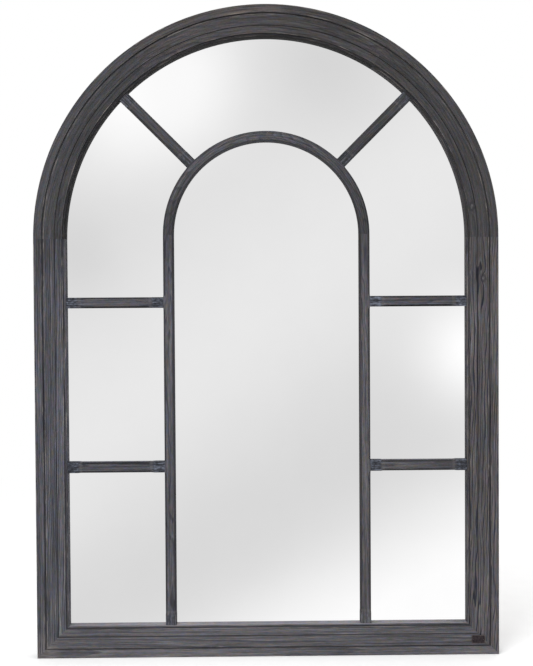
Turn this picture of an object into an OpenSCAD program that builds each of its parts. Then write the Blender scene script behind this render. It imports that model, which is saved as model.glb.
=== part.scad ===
// Arched wall mirror: a moulded pine frame, one sheet of mirror, glazing bars in front of it,
// a backing board and hanging fittings behind it.
// Origin: middle of the bottom rail's underside. +X is to the right as the mirror is looked at,
// +Y points from the front to the wall, +Z is up.

/* [Frame] */
// Overall width, and so twice the radius of the arched head
frame_w = 1000; // [860:1:1300]
// Height of the spring line, where the straight stiles end and the arched head begins
stile_h = 904; // [840:1:1200]
// Thickness of the frame from front to back
frame_t = 32; // [30:0.5:42]
// Width of the moulding from the outer edge to the sight edge
moulding_w = 69; // [64:0.5:90]
// Direction of the joint between the right and top segments of the head, from +X
right_joint_deg = 57.9; // [54:0.1:66]
// Direction of the joint between the top and left segments of the head, from +X
left_joint_deg = 125.6; // [114:0.1:128]

/* [Moulding profile] */
// Width of the flat band along the outer edge
outer_band_w = 18; // [12:0.5:22]
// Width of the groove beside the outer band
outer_groove_w = 2.6; // [1.5:0.1:4]
// Depth of the groove beside the outer band
outer_groove_d = 3; // [1:0.1:5]
// Distance of the scratch line from the outer edge
line_from_edge = 45.6; // [36:0.1:50]
// Width of the scratch line
line_w = 2; // [0.8:0.1:3]
// Depth of the scratch line
line_d = 1.4; // [0.4:0.1:2.5]
// Width of the groove beside the sight edge
inner_groove_w = 2.8; // [1.5:0.1:4]
// Depth of the groove beside the sight edge
inner_groove_d = 3; // [1:0.1:5]
// Width of the bead on the sight edge
bead_w = 3.6; // [2.4:0.1:5]
// Height by which the bead lies below the front face
bead_drop = 0.8; // [0:0.1:2]
// Radius of the eased outer front edge
front_edge_r = 2; // [0.5:0.1:4]
// Radius of the eased outer back edge
back_edge_r = 1; // [0.5:0.1:2]
// Chamfer on the edges of the grooves
groove_ease = 0.6; // [0.2:0.1:1]

/* [Rebates and sheets] */
// Depth of the frame's lip, from the front face to the mirror
lip_t = 14; // [12:0.5:16]
// Width of the rebate that takes the mirror
glass_rebate_w = 12; // [8:0.5:14]
// Width of the ledge that the backing board is screwed to
board_ledge_w = 10; // [8:0.5:12]
// Thickness of the mirror
glass_t = 4; // [3:0.5:5]
// Thickness of the card between the mirror and the board
card_t = 2; // [1:0.5:3]
// Thickness of the backing board
board_t = 5; // [3:0.5:6]
// Gap between the edge of a sheet and the wall of its rebate
sheet_gap = 1; // [0.5:0.1:2]

/* [Glazing bars] */
// Width of a glazing bar
bar_w = 23; // [18:0.5:26]
// Thickness of a glazing bar
bar_t = 11; // [9:0.5:12]
// Chamfer on the front edges of the bars
bar_chamfer = 4; // [2:0.5:5]
// Length of the square end left where a chamfer stops
bar_stop = 22; // [14:1:30]
// Radius of the cutter that made the chamfers, at its tip
cutter_r = 4; // [2:0.5:6]
// Step left in the chamfer where the cutter turns out to a stop
stop_step = 0.05; // [0.02:0.01:0.2]
// Distance of the tall bars from the middle, and the middle radius of the inner arch
mullion_x = 211; // [180:1:240]
// Height of the lower cross bars
lower_bar_z = 412; // [300:1:500]
// Distance of the upper cross bars below the spring line
upper_bar_drop = 137; // [114:1:260]
// Height of the inner arch's centre above the spring line of the head
inner_rise = 8; // [0:1:20]
// Direction of the diagonal bars, from the horizontal
diagonal_deg = 45; // [40:0.5:50]
// Gap left between a curved face and the end shaped to fit it
cope_gap = 0.1; // [0.05:0.05:0.2]

/* [Dowels] */
// Diameter of the dowels in the frame
frame_dowel_d = 8; // [6:0.5:8]
// Length of the dowels in the frame
frame_dowel_len = 32; // [24:1:36]
// Distance of the outer dowel of each joint from the outer edge
dowel_from_edge = 20; // [19:0.5:22]
// Distance of the inner dowel of each joint from the sight edge
dowel_from_sight = 20; // [18:0.5:22]
// Distance of the frame dowels from the front face
dowel_from_front = 10; // [9:0.5:11]
// Diameter of the dowels in the bars
bar_dowel_d = 5; // [4:0.5:6]
// Length of the dowels in the bars
bar_dowel_len = 16; // [12:1:20]
// Radial clearance round a dowel or a screw
hole_gap = 0.1; // [0.05:0.05:0.2]
// Room left at each end of a dowel
end_gap = 1; // [0.5:0.5:2]

/* [Board screws] */
// Diameter of a board screw's shank
screw_d = 3.5; // [3:0.1:4]
// Length of a board screw
screw_len = 15; // [12:1:16]
// Diameter of a board screw's head
screw_head_d = 7; // [6:0.1:8]
// Height of a board screw's countersunk head
screw_head_h = 2; // [1.5:0.1:2.5]
// Distance of the end screws from each joint of the frame
screw_inset = 110; // [80:1:140]
// Screws along each stile
stile_screws = 4; // [2:1:6]
// Screws along the bottom rail
rail_screws = 4; // [2:1:6]
// Screws along each segment of the head
head_screws = 2; // [2:1:4]

/* [Hangers] */
// Distance of the hinge axis of the rings below the spring line
hanger_drop = 44; // [30:1:120]
// Diameter of the ring's wire
ring_wire_d = 4; // [3:0.5:5]
// Middle radius of the ring's curved side
ring_r = 15; // [13:0.5:16]
// Radial running clearance of the ring in its eye
ring_gap = 0.08; // [0.05:0.01:0.1]
// Width of the strap and its eye
strap_w = 15; // [12:0.5:16]
// Thickness of the strap
strap_t = 1.5; // [1:0.1:1.8]
// Gap between the ring and the strap when the ring hangs down
strap_gap = 0.3; // [0.3:0.1:1]
// Distance from the hinge axis to the upper strap screw
strap_screw_drop = 24; // [23:0.5:30]
// Distance between the two strap screws
strap_screw_pitch = 16; // [13:0.5:20]
// Distance from the lower screw to the end of the strap
strap_tail = 8; // [7:0.5:10]
// Diameter of a strap screw's shank
strap_screw_d = 4; // [3.5:0.1:4.5]
// Length of a strap screw's shank below its head
strap_screw_len = 18; // [14:1:20]
// Diameter of a strap screw's head
strap_head_d = 8; // [7:0.1:9]
// Height of a strap screw's head
strap_head_h = 2.2; // [1.8:0.1:2.6]

/* [Wall pads] */
// Diameter of a pad
pad_d = 20; // [14:1:26]
// Thickness of a pad
pad_t = 9; // [8.5:0.5:14]
// Height of the lower pads above the underside
pad_z = 60; // [45:1:160]
// Direction of the upper pads on the head, from the horizontal
pad_deg = 45; // [38:1:48]
// Chamfer on the rim of a pad
pad_chamfer = 1; // [0.5:0.1:2]

/* [Badge] */
// Width of the plate
badge_w = 29; // [20:0.5:34]
// Height of the plate
badge_h = 18; // [12:0.5:20]
// Thickness of the plate
badge_t = 1.2; // [0.8:0.1:2]
// Distance of the plate's middle from the outer edge of the right stile
badge_from_edge = 45.7; // [44:0.1:80]
// Radius of the plate's corners
badge_r = 1.5; // [0.5:0.1:3]
// Width of the raised rim
rim_w = 1.2; // [0.6:0.1:2]
// Height of the raised rim
rim_h = 0.4; // [0.2:0.1:0.5]
// Diameter of a pin's head
pin_head_d = 2.2; // [1.6:0.1:3]
// Height of a pin's head
pin_head_h = 0.5; // [0.3:0.1:0.8]
// Diameter of a pin's shank
pin_d = 1.2; // [0.8:0.1:1.5]
// Length of a pin's shank below the plate
pin_len = 8; // [5:0.5:12]
// Distance from the end of the plate to the middle of a pin
pin_inset = 3.6; // [3:0.1:5]

/* [Hidden] */

$fn = 96;
eps = 0.5;

LEFT = -1;
RIGHT = 1;

// Finishes
STAINED_PINE = "#59575b";
DOWEL_WOOD = "#c9a878";
SILVER = "#dfe2e3";
CARD = "#b79a72";
BOARD = "#7d6248";
ZINC = "#b9bcc0";
RUBBER = "#232323";
BRONZE = "#3d302c";

// Frame
half_w = frame_w / 2;
sight_x = half_w - moulding_w;
front_y = -frame_t / 2;
back_y = frame_t / 2;

// Stack of sheets, from the lip to the back
glass_y = front_y + lip_t;
card_y = glass_y + glass_t;
board_y = card_y + card_t;
board_back_y = board_y + board_t;
glass_rebate_u = moulding_w - glass_rebate_w;
board_rebate_u = glass_rebate_u - board_ledge_w;

// Glazing bars
bar_y = glass_y - bar_t;
inner_spring_z = stile_h + inner_rise;
upper_bar_z = stile_h - upper_bar_drop;
inner_arch_in = mullion_x - bar_w / 2;
inner_arch_out = mullion_x + bar_w / 2;
cross_bar_len = sight_x - inner_arch_out;
cutter_offset = cutter_r + stop_step;
run_out = sqrt(pow(cutter_r + bar_chamfer, 2) - pow(cutter_offset, 2));

// Where a diagonal bar's middle line meets the outside of the inner arch
diagonal_start = inner_rise * sin(diagonal_deg)
    + sqrt(pow(inner_arch_out, 2) - pow(inner_rise * cos(diagonal_deg), 2));
diagonal_foot_deg = asin((diagonal_start * sin(diagonal_deg) - inner_rise) / inner_arch_out);
foot_half_deg = asin(bar_w / 2 / inner_arch_out);
run_out_deg = asin(run_out / (inner_arch_out + cutter_offset));

// Screws, pads and hangers sit on the flat back of the moulding or on the board's ledge
screw_u = board_rebate_u + board_ledge_w / 2;
back_mid_u = board_rebate_u / 2;
hinge_y = back_y + strap_t + strap_gap + ring_wire_d / 2;
hinge_z = stile_h - hanger_drop;
eye_in_r = ring_wire_d / 2 + ring_gap;
eye_out_r = hinge_y - back_y;
strap_len = strap_screw_drop + strap_screw_pitch + strap_tail;

// The plate sits in the middle of the moulding's outer flat
badge_z = (outer_band_w + outer_groove_w + line_from_edge) / 2;
badge_x = half_w - badge_from_edge;

// Cross recess of a screw's head, and the taper of its tip
recess_w = 0.9;
recess_share = 0.6;
recess_depth = 1;
tip_len = 3;

// Evenly spread values from one end to the other
function spread(from, to, count) = [for (i = [0:count - 1]) from + (to - from) * i / (count - 1)];

// Angle of an arc of a given length
function arc_deg(length, radius) = length / radius * 180 / PI;

// Place children on the head's centre, in the plane of the front
module on_circle(radius, deg, centre_z) {
    translate([radius * cos(deg), 0, centre_z + radius * sin(deg)])
        children();
}

// Turn children so that their Z axis points to the front
module facing_front() {
    rotate([90, 0, 0])
        children();
}

// Sweep a section, drawn as radius and height towards the front, round the Y axis
module swept(from_deg, to_deg, centre_z) {
    translate([0, 0, centre_z])
        rotate([90, 0, 0])
            rotate([0, 0, from_deg])
                rotate_extrude(angle = to_deg - from_deg, $fn = 360)
                    children();
}

// Waste to round a corner at the origin, for material in the first quadrant
module corner_waste(radius) {
    difference() {
        translate([-eps, -eps])
            square(radius + eps);
        translate([radius, radius])
            circle(radius);
    }
}

// Waste of a groove with eased edges, for material below the X axis
module groove_waste(width, depth, ease) {
    half = width / 2;
    polygon([
        [-half - ease, eps],
        [-half - ease, 0],
        [-half, -ease],
        [-half, -depth],
        [half, -depth],
        [half, -ease],
        [half + ease, 0],
        [half + ease, eps]
    ]);
}

// Waste of a V-shaped scratch line, for material below the X axis
module line_waste(width, depth) {
    polygon([
        [-width / 2, eps],
        [-width / 2, 0],
        [0, -depth],
        [width / 2, 0],
        [width / 2, eps]
    ]);
}

// Section of the moulding: X runs inward from the outer edge, Y from the back to the front
module moulding_section() {
    difference() {
        square([moulding_w, frame_t]);
        corner_waste(back_edge_r);
        translate([0, frame_t])
            mirror([0, 1])
                corner_waste(front_edge_r);
        translate([outer_band_w + outer_groove_w / 2, frame_t])
            groove_waste(outer_groove_w, outer_groove_d, groove_ease);
        translate([line_from_edge, frame_t])
            line_waste(line_w, line_d);
        translate([moulding_w - bead_w - inner_groove_w / 2, frame_t])
            groove_waste(inner_groove_w, inner_groove_d, groove_ease);
        bead_waste();
        translate([glass_rebate_u, -eps])
            square([glass_rebate_w + eps, frame_t - lip_t + eps]);
        translate([board_rebate_u, -eps])
            square([moulding_w, frame_t - lip_t - glass_t - card_t + eps]);
    }
}

// Waste round the bead on the sight edge
module bead_waste() {
    bead_top = frame_t - bead_drop;
    translate([moulding_w - bead_w, bead_top])
        square([bead_w + eps, bead_drop + eps]);
    translate([moulding_w, bead_top])
        rotate(180)
            corner_waste(bead_w / 2);
    translate([moulding_w - bead_w, bead_top])
        mirror([0, 1])
            corner_waste(bead_w / 2);
}

// The moulding's section with Y running from the front face to the back, as the rails use it
module rail_section() {
    translate([0, back_y])
        mirror([0, 1])
            moulding_section();
}

// Everything on one side of the left mitre: up = 1 is above it, up = -1 below it
module mitre_waste(up) {
    far = moulding_w + eps;
    corner_z = up > 0 ? far : -eps;
    corner_x = up > 0 ? -eps : far;
    translate([-half_w, 0, 0])
        facing_front()
            linear_extrude(frame_t + 2 * eps, center = true)
                polygon([[-eps, -eps], [far, far], [corner_x, corner_z]]);
}

// Dowel places of one mitre, with Z across the joint
module mitre_sites(side) {
    for (u = [dowel_from_edge, moulding_w - dowel_from_sight])
        translate([side * (half_w - u), front_y + dowel_from_front, u])
            rotate([0, side * 45, 0])
                children();
}

// Dowel places of one joint of the head, with Z across the joint
module head_joint_sites(deg) {
    for (u = [dowel_from_edge, moulding_w - dowel_from_sight])
        translate([0, front_y + dowel_from_front, 0])
            on_circle(half_w - u, deg, stile_h)
                rotate([0, -deg, 0])
                    children();
}

module frame_dowel_sites() {
    for (side = [LEFT, RIGHT])
        mitre_sites(side)
            children();
    for (deg = [0, right_joint_deg, left_joint_deg, 180])
        head_joint_sites(deg)
            children();
}

// Dowel places of the glazing bars on one side and at the crown, with Z across the joint
module bar_dowel_sites() {
    translate([0, bar_y + bar_t / 2, 0]) {
        for (side = [LEFT, RIGHT]) {
            for (z = [lower_bar_z, upper_bar_z])
                for (x = [sight_x, inner_arch_out])
                    translate([side * x, 0, z])
                        rotate([0, 90, 0])
                            children();
            for (z = [moulding_w, inner_spring_z])
                translate([side * mullion_x, 0, z])
                    children();
            for (reach = [diagonal_start, sight_x])
                translate([side * reach * cos(diagonal_deg), 0, stile_h + reach * sin(diagonal_deg)])
                    rotate([0, side * (90 - diagonal_deg), 0])
                        children();
        }
        on_circle(mullion_x, 90, inner_spring_z)
            rotate([0, 90, 0])
                children();
    }
}

module dowel(diameter, length) {
    cylinder(d = diameter, h = length, center = true);
}

module frame_dowel_holes() {
    frame_dowel_sites()
        dowel(frame_dowel_d + 2 * hole_gap, frame_dowel_len + 2 * end_gap);
}

module bar_dowel_holes() {
    bar_dowel_sites()
        dowel(bar_dowel_d + 2 * hole_gap, bar_dowel_len + 2 * end_gap);
}

// Places of the board screws: origin on the board's back face, Z pointing to the wall
module board_screw_sites() {
    translate([0, board_back_y, 0]) {
        for (side = [LEFT, RIGHT])
            for (z = spread(screw_inset, stile_h - screw_inset, stile_screws))
                translate([side * (half_w - screw_u), 0, z])
                    rotate([-90, 0, 0])
                        children();
        for (x = spread(screw_inset - half_w, half_w - screw_inset, rail_screws))
            translate([x, 0, screw_u])
                rotate([-90, 0, 0])
                    children();
        inset_deg = arc_deg(screw_inset, half_w - screw_u);
        for (ends = [[0, right_joint_deg], [right_joint_deg, left_joint_deg], [left_joint_deg, 180]])
            for (deg = spread(ends[0] + inset_deg, ends[1] - inset_deg, head_screws))
                on_circle(half_w - screw_u, deg, stile_h)
                    rotate([-90, 0, 0])
                        children();
    }
}

// Places of the strap screws on one side: origin on the strap's face, Z pointing to the wall
module strap_screw_sites(side) {
    for (drop = [strap_screw_drop, strap_screw_drop + strap_screw_pitch])
        translate([side * (half_w - back_mid_u), back_y + strap_t, hinge_z - drop])
            rotate([-90, 0, 0])
                children();
}

// Holes that the dowels and screws leave in the frame
module frame_holes() {
    frame_dowel_holes();
    bar_dowel_holes();
    board_screw_sites()
        translate([0, 0, -screw_len - end_gap])
            cylinder(d = screw_d + 2 * hole_gap, h = screw_len);
    for (side = [LEFT, RIGHT])
        strap_screw_sites(side)
            translate([0, 0, -strap_screw_len - end_gap])
                cylinder(d = strap_screw_d + 2 * hole_gap, h = strap_screw_len + end_gap);
}

// Straight side member at the left, mitred at its foot
module left_stile() {
    color(STAINED_PINE)
        difference() {
            translate([-half_w, 0, 0])
                linear_extrude(stile_h)
                    rail_section();
            mitre_waste(-1);
            frame_holes();
        }
}

// Straight side member at the right
module right_stile() {
    mirror([1, 0, 0])
        left_stile();
}

// Bottom member, mitred at both ends
module bottom_rail() {
    color(STAINED_PINE)
        difference() {
            translate([half_w, 0, 0])
                rotate([0, -90, 0])
                    linear_extrude(frame_w)
                        rail_section();
            mitre_waste(1);
            mirror([1, 0, 0])
                mitre_waste(1);
            frame_holes();
            badge_pin_sites()
                translate([0, 0, -pin_len - end_gap])
                    cylinder(d = pin_d + 2 * hole_gap, h = pin_len + end_gap + badge_t);
        }
}

// One curved segment of the head
module head_segment(from_deg, to_deg) {
    color(STAINED_PINE)
        difference() {
            swept(from_deg, to_deg, stile_h)
                translate([half_w, -back_y])
                    mirror([1, 0])
                        moulding_section();
            frame_holes();
        }
}

module arch_left() {
    head_segment(left_joint_deg, 180);
}

module arch_top() {
    head_segment(right_joint_deg, left_joint_deg);
}

module arch_right() {
    head_segment(0, right_joint_deg);
}

// Dowels through the mitres and the joints of the head
module frame_dowels() {
    color(DOWEL_WOOD)
        frame_dowel_sites()
            dowel(frame_dowel_d, frame_dowel_len);
}

// Section of the waste along a chamfered edge: the edge is the origin, the bar lies at -X and +Y
module chamfer_waste() {
    polygon([
        [-bar_chamfer - eps, -eps],
        [eps, -eps],
        [eps, bar_chamfer + eps]
    ]);
}

// Cone of the cutter, standing where a chamfer stops
module cutter() {
    rotate([-90, 0, 0])
        translate([0, 0, -eps])
            cylinder(h = bar_chamfer + 2 * eps, r1 = cutter_r + bar_chamfer + eps, r2 = cutter_r - eps);
}

// Waste of one chamfer along Z: it fades out at a stop and runs through elsewhere
module chamfer_run(from, to, stop_low = true, stop_high = true) {
    low = stop_low ? from + run_out : from - eps;
    high = stop_high ? to - run_out : to + eps;
    translate([0, 0, low])
        linear_extrude(high - low)
            chamfer_waste();
    if (stop_low)
        translate([cutter_offset, 0, low])
            cutter();
    if (stop_high)
        translate([cutter_offset, 0, high])
            cutter();
}

// Straight bar along Z, front face at Y = 0
module plain_bar(from, to) {
    translate([-bar_w / 2, 0, from])
        cube([bar_w, bar_t, to - from]);
}

// Straight bar along Z with a stopped chamfer on both front edges
module stopped_bar(from, to, chamfer_from, chamfer_to) {
    difference() {
        plain_bar(from, to);
        for (side = [LEFT, RIGHT])
            scale([side, 1, 1])
                translate([bar_w / 2, 0, 0])
                    chamfer_run(chamfer_from, chamfer_to);
    }
}

// Tall bar at the left: its outer chamfer stops at each cross bar, its inner one runs on
module left_mullion() {
    chamfer_foot = moulding_w + bar_stop;
    color(STAINED_PINE)
        difference() {
            translate([-mullion_x, bar_y, 0])
                difference() {
                    plain_bar(moulding_w, inner_spring_z);
                    translate([bar_w / 2, 0, 0])
                        chamfer_run(chamfer_foot, inner_spring_z, true, false);
                    mirror([1, 0, 0])
                        translate([bar_w / 2, 0, 0]) {
                            chamfer_run(chamfer_foot, lower_bar_z - bar_w / 2);
                            chamfer_run(lower_bar_z + bar_w / 2, upper_bar_z - bar_w / 2);
                            chamfer_run(upper_bar_z + bar_w / 2, inner_spring_z, true, false);
                        }
                }
            bar_dowel_holes();
        }
}

module right_mullion() {
    mirror([1, 0, 0])
        left_mullion();
}

// Waste of the chamfer on the outside of the inner arch, between two directions
module outer_arch_chamfer(from_deg, to_deg) {
    swept(from_deg, to_deg, inner_spring_z)
        translate([inner_arch_out, -bar_y])
            mirror([0, 1])
                chamfer_waste();
}

// Right half of the inner arch: its outer chamfer stops on both sides of the diagonal bar
module inner_arch_right() {
    stop_low_deg = diagonal_foot_deg - foot_half_deg - run_out_deg;
    stop_high_deg = diagonal_foot_deg + foot_half_deg + run_out_deg;
    color(STAINED_PINE)
        difference() {
            swept(0, 90, inner_spring_z)
                translate([inner_arch_in, -bar_y - bar_t])
                    square([bar_w, bar_t]);
            swept(-1, 91, inner_spring_z)
                translate([inner_arch_in, -bar_y])
                    rotate(180)
                        chamfer_waste();
            outer_arch_chamfer(-1, stop_low_deg);
            outer_arch_chamfer(stop_high_deg, 91);
            for (deg = [stop_low_deg, stop_high_deg])
                translate([0, bar_y, 0])
                    on_circle(inner_arch_out + cutter_offset, deg, inner_spring_z)
                        cutter();
            bar_dowel_holes();
        }
}

module inner_arch_left() {
    mirror([1, 0, 0])
        inner_arch_right();
}

// Short bar from the left stile to the left mullion
module left_cross_bar(height) {
    color(STAINED_PINE)
        difference() {
            translate([-sight_x, bar_y, height])
                rotate([0, 90, 0])
                    stopped_bar(0, cross_bar_len, bar_stop, cross_bar_len - bar_stop);
            bar_dowel_holes();
        }
}

module upper_left_bar() {
    left_cross_bar(upper_bar_z);
}

module lower_left_bar() {
    left_cross_bar(lower_bar_z);
}

module upper_right_bar() {
    mirror([1, 0, 0])
        left_cross_bar(upper_bar_z);
}

module lower_right_bar() {
    mirror([1, 0, 0])
        left_cross_bar(lower_bar_z);
}

// Bar from the inner arch to the head, its ends shaped to the two curves
module right_diagonal_bar() {
    color(STAINED_PINE)
        difference() {
            intersection() {
                translate([0, bar_y, stile_h])
                    rotate([0, 90 - diagonal_deg, 0])
                        stopped_bar(
                            diagonal_start - bar_w,
                            sight_x + bar_w,
                            diagonal_start + bar_stop,
                            sight_x - bar_stop
                        );
                translate([0, 0, stile_h])
                    facing_front()
                        cylinder(r = sight_x - cope_gap, h = 2 * frame_t, center = true, $fn = 360);
            }
            translate([0, 0, inner_spring_z])
                facing_front()
                    cylinder(r = inner_arch_out + cope_gap, h = 2 * frame_t, center = true, $fn = 360);
            bar_dowel_holes();
        }
}

module left_diagonal_bar() {
    mirror([1, 0, 0])
        right_diagonal_bar();
}

// Dowels that pin the bars to each other and to the frame
module bar_dowels() {
    color(DOWEL_WOOD)
        bar_dowel_sites()
            dowel(bar_dowel_d, bar_dowel_len);
}

// Sheet with an arched top, its edge a given distance inside the frame's outer edge
module arched_sheet(margin, near_y, thickness) {
    translate([0, near_y + thickness, 0])
        facing_front()
            linear_extrude(thickness) {
                translate([margin - half_w, margin])
                    square([frame_w - 2 * margin, stile_h - margin]);
                translate([0, stile_h])
                    circle(half_w - margin, $fn = 360);
            }
}

module mirror_glass() {
    color(SILVER)
        arched_sheet(glass_rebate_u + sheet_gap, glass_y, glass_t);
}

module backing_sheet() {
    color(CARD)
        arched_sheet(glass_rebate_u + sheet_gap, card_y, card_t);
}

// Board with a countersunk hole for each screw
module backing_board() {
    color(BOARD)
        difference() {
            arched_sheet(board_rebate_u + sheet_gap, board_y, board_t);
            board_screw_sites() {
                translate([0, 0, -board_t - eps])
                    cylinder(d = screw_d + 2 * hole_gap, h = board_t + 2 * eps);
                screw_head(screw_head_d / 2 + 2 * hole_gap, screw_d / 2 + 2 * hole_gap);
            }
        }
}

// Countersunk head below the XY plane
module screw_head(top_r, neck_r) {
    translate([0, 0, -screw_head_h])
        cylinder(r1 = neck_r, r2 = top_r, h = screw_head_h);
}

// Cross recess in a head of a given diameter whose top is the XY plane
module cross_recess(head_d) {
    for (turn = [0, 90])
        rotate([0, 0, turn])
            translate([-head_d * recess_share / 2, -recess_w / 2, -recess_depth])
                cube([head_d * recess_share, recess_w, recess_depth + eps]);
}

// Shank below the XY plane, with a tapered tip
module screw_shank(diameter, length) {
    translate([0, 0, tip_len - length])
        cylinder(d = diameter, h = length - tip_len);
    translate([0, 0, -length])
        cylinder(d1 = diameter / 3, d2 = diameter, h = tip_len);
}

module board_screws() {
    color(ZINC)
        board_screw_sites()
            difference() {
                union() {
                    screw_head(screw_head_d / 2, screw_d / 2);
                    screw_shank(screw_d, screw_len);
                }
                cross_recess(screw_head_d);
            }
}

// Strap with the eye that the ring turns in
module hanger_strap(side) {
    color(ZINC)
        translate([side * (half_w - back_mid_u), 0, 0])
            difference() {
                union() {
                    translate([-strap_w / 2, back_y, hinge_z - strap_len])
                        cube([strap_w, strap_t, strap_len]);
                    translate([-strap_w / 2, hinge_y, hinge_z])
                        rotate([0, 90, 0])
                            cylinder(r = eye_out_r, h = strap_w);
                }
                translate([-strap_w / 2 - eps, hinge_y, hinge_z])
                    rotate([0, 90, 0])
                        cylinder(r = eye_in_r, h = strap_w + 2 * eps);
                translate([-side * (half_w - back_mid_u), 0, 0])
                    strap_screw_sites(side)
                        translate([0, 0, -strap_t - eps])
                            cylinder(d = strap_screw_d + 2 * hole_gap, h = strap_t + 2 * eps);
            }
}

module left_hanger_strap() {
    hanger_strap(LEFT);
}

module right_hanger_strap() {
    hanger_strap(RIGHT);
}

// D-shaped ring that hangs down from its straight side
module hanger_ring(side) {
    wire_r = ring_wire_d / 2;
    color(ZINC)
        translate([side * (half_w - back_mid_u), hinge_y, hinge_z]) {
            translate([-ring_r, 0, 0])
                rotate([0, 90, 0])
                    cylinder(r = wire_r, h = 2 * ring_r);
            rotate([-90, 0, 0])
                rotate_extrude(angle = 180)
                    translate([ring_r, 0])
                        circle(wire_r);
            for (end = [LEFT, RIGHT])
                translate([end * ring_r, 0, 0])
                    sphere(wire_r);
        }
}

module left_hanger_ring() {
    hanger_ring(LEFT);
}

module right_hanger_ring() {
    hanger_ring(RIGHT);
}

module hanger_screws() {
    color(ZINC)
        for (side = [LEFT, RIGHT])
            strap_screw_sites(side)
                difference() {
                    union() {
                        cylinder(d1 = strap_head_d, d2 = strap_head_d - strap_head_h, h = strap_head_h);
                        screw_shank(strap_screw_d, strap_screw_len);
                    }
                    translate([0, 0, strap_head_h])
                        cross_recess(strap_head_d);
                }
}

// One pad, standing on the XY plane
module pad() {
    cylinder(d = pad_d, h = pad_t - pad_chamfer);
    translate([0, 0, pad_t - pad_chamfer])
        cylinder(d1 = pad_d, d2 = pad_d - 2 * pad_chamfer, h = pad_chamfer);
}

// Pads that hold the back off the wall: two low on the stiles, two on the head
module wall_pads() {
    color(RUBBER)
        translate([0, back_y, 0])
            for (side = [LEFT, RIGHT]) {
                translate([side * (half_w - back_mid_u), 0, pad_z])
                    rotate([-90, 0, 0])
                        pad();
                on_circle(side * (half_w - back_mid_u), side * pad_deg, stile_h)
                    rotate([-90, 0, 0])
                        pad();
            }
}

// Places of the two pins of the plate: origin on the front face, Z pointing out of it
module badge_pin_sites() {
    for (end = [LEFT, RIGHT])
        translate([badge_x + end * (badge_w / 2 - pin_inset), front_y, badge_z])
            facing_front()
                children();
}

// Outline of the plate, smaller all round by a given amount
module badge_outline(inset) {
    w = badge_w - 2 * inset;
    h = badge_h - 2 * inset;
    square([w - 2 * badge_r, h], center = true);
    square([w, h - 2 * badge_r], center = true);
    for (x = [LEFT, RIGHT], z = [LEFT, RIGHT])
        translate([x * (w / 2 - badge_r), z * (h / 2 - badge_r)])
            circle(badge_r);
}

// Bare metal plate with a raised rim
module badge_plate() {
    color(BRONZE)
        difference() {
            translate([badge_x, front_y, badge_z])
                facing_front()
                    difference() {
                        linear_extrude(badge_t + rim_h)
                            badge_outline(0);
                        translate([0, 0, badge_t])
                            linear_extrude(rim_h + eps)
                                badge_outline(rim_w);
                    }
            badge_pin_sites()
                translate([0, 0, -eps])
                    cylinder(d = pin_d + 2 * hole_gap, h = badge_t + 2 * eps);
        }
}

module badge_pins() {
    color(BRONZE)
        badge_pin_sites() {
            translate([0, 0, badge_t])
                cylinder(d1 = pin_head_d, d2 = pin_d, h = pin_head_h);
            translate([0, 0, -pin_len])
                cylinder(d = pin_d, h = pin_len + badge_t);
        }
}

left_stile();
right_stile();
bottom_rail();
arch_left();
arch_top();
arch_right();
frame_dowels();
left_mullion();
right_mullion();
inner_arch_left();
inner_arch_right();
upper_left_bar();
upper_right_bar();
lower_left_bar();
lower_right_bar();
left_diagonal_bar();
right_diagonal_bar();
bar_dowels();
mirror_glass();
backing_sheet();
backing_board();
board_screws();
left_hanger_strap();
right_hanger_strap();
left_hanger_ring();
right_hanger_ring();
hanger_screws();
wall_pads();
badge_plate();
badge_pins();
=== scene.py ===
import math

import bpy
from mathutils import Euler, Matrix, Vector


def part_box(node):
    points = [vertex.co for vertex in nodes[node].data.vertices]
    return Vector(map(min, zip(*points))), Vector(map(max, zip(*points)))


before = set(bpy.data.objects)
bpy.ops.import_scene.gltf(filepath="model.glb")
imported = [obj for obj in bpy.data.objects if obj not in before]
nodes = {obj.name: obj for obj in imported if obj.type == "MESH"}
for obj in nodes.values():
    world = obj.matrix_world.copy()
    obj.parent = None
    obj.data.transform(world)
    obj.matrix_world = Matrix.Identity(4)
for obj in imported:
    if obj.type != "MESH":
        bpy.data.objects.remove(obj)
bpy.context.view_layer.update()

# Looks of the arched pine mirror, its floor, room and lamps, and the photo's camera


def end_of(node, corner, axis):
    """Where a node's box ends, in mm."""
    return round(1000.0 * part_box(node)[corner][axis], 3)


LOW, HIGH = 0, 1
X, Y, Z = 0, 1, 2

# Sizes in mm, from the frame
HALF_W = end_of("right_stile", HIGH, X)
SIGHT = end_of("right_stile", LOW, X)
MOULDING = HALF_W - SIGHT
FRONT_Y = end_of("right_stile", LOW, Y)
SPRING_Z = end_of("right_stile", HIGH, Z)
MULLION_OUT = end_of("right_mullion", HIGH, X)
MULLION_IN = end_of("right_mullion", LOW, X)
INNER_Z = end_of("right_mullion", HIGH, Z)
BAR_W = MULLION_OUT - MULLION_IN
# A diagonal bar runs at 45 degrees from the middle of the spring line, and its lowest corner
# lies half a bar's width beside its own middle line
SLOPE = math.sqrt(0.5)
DIAGONAL_LOW = end_of("right_diagonal_bar", LOW, Z) - SPRING_Z
DIAGONAL_START = 2.0 * SLOPE * DIAGONAL_LOW + BAR_W / 2.0
# Length of a bar's square end, up to the chamfer
BAR_STOP = 22.0


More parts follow.
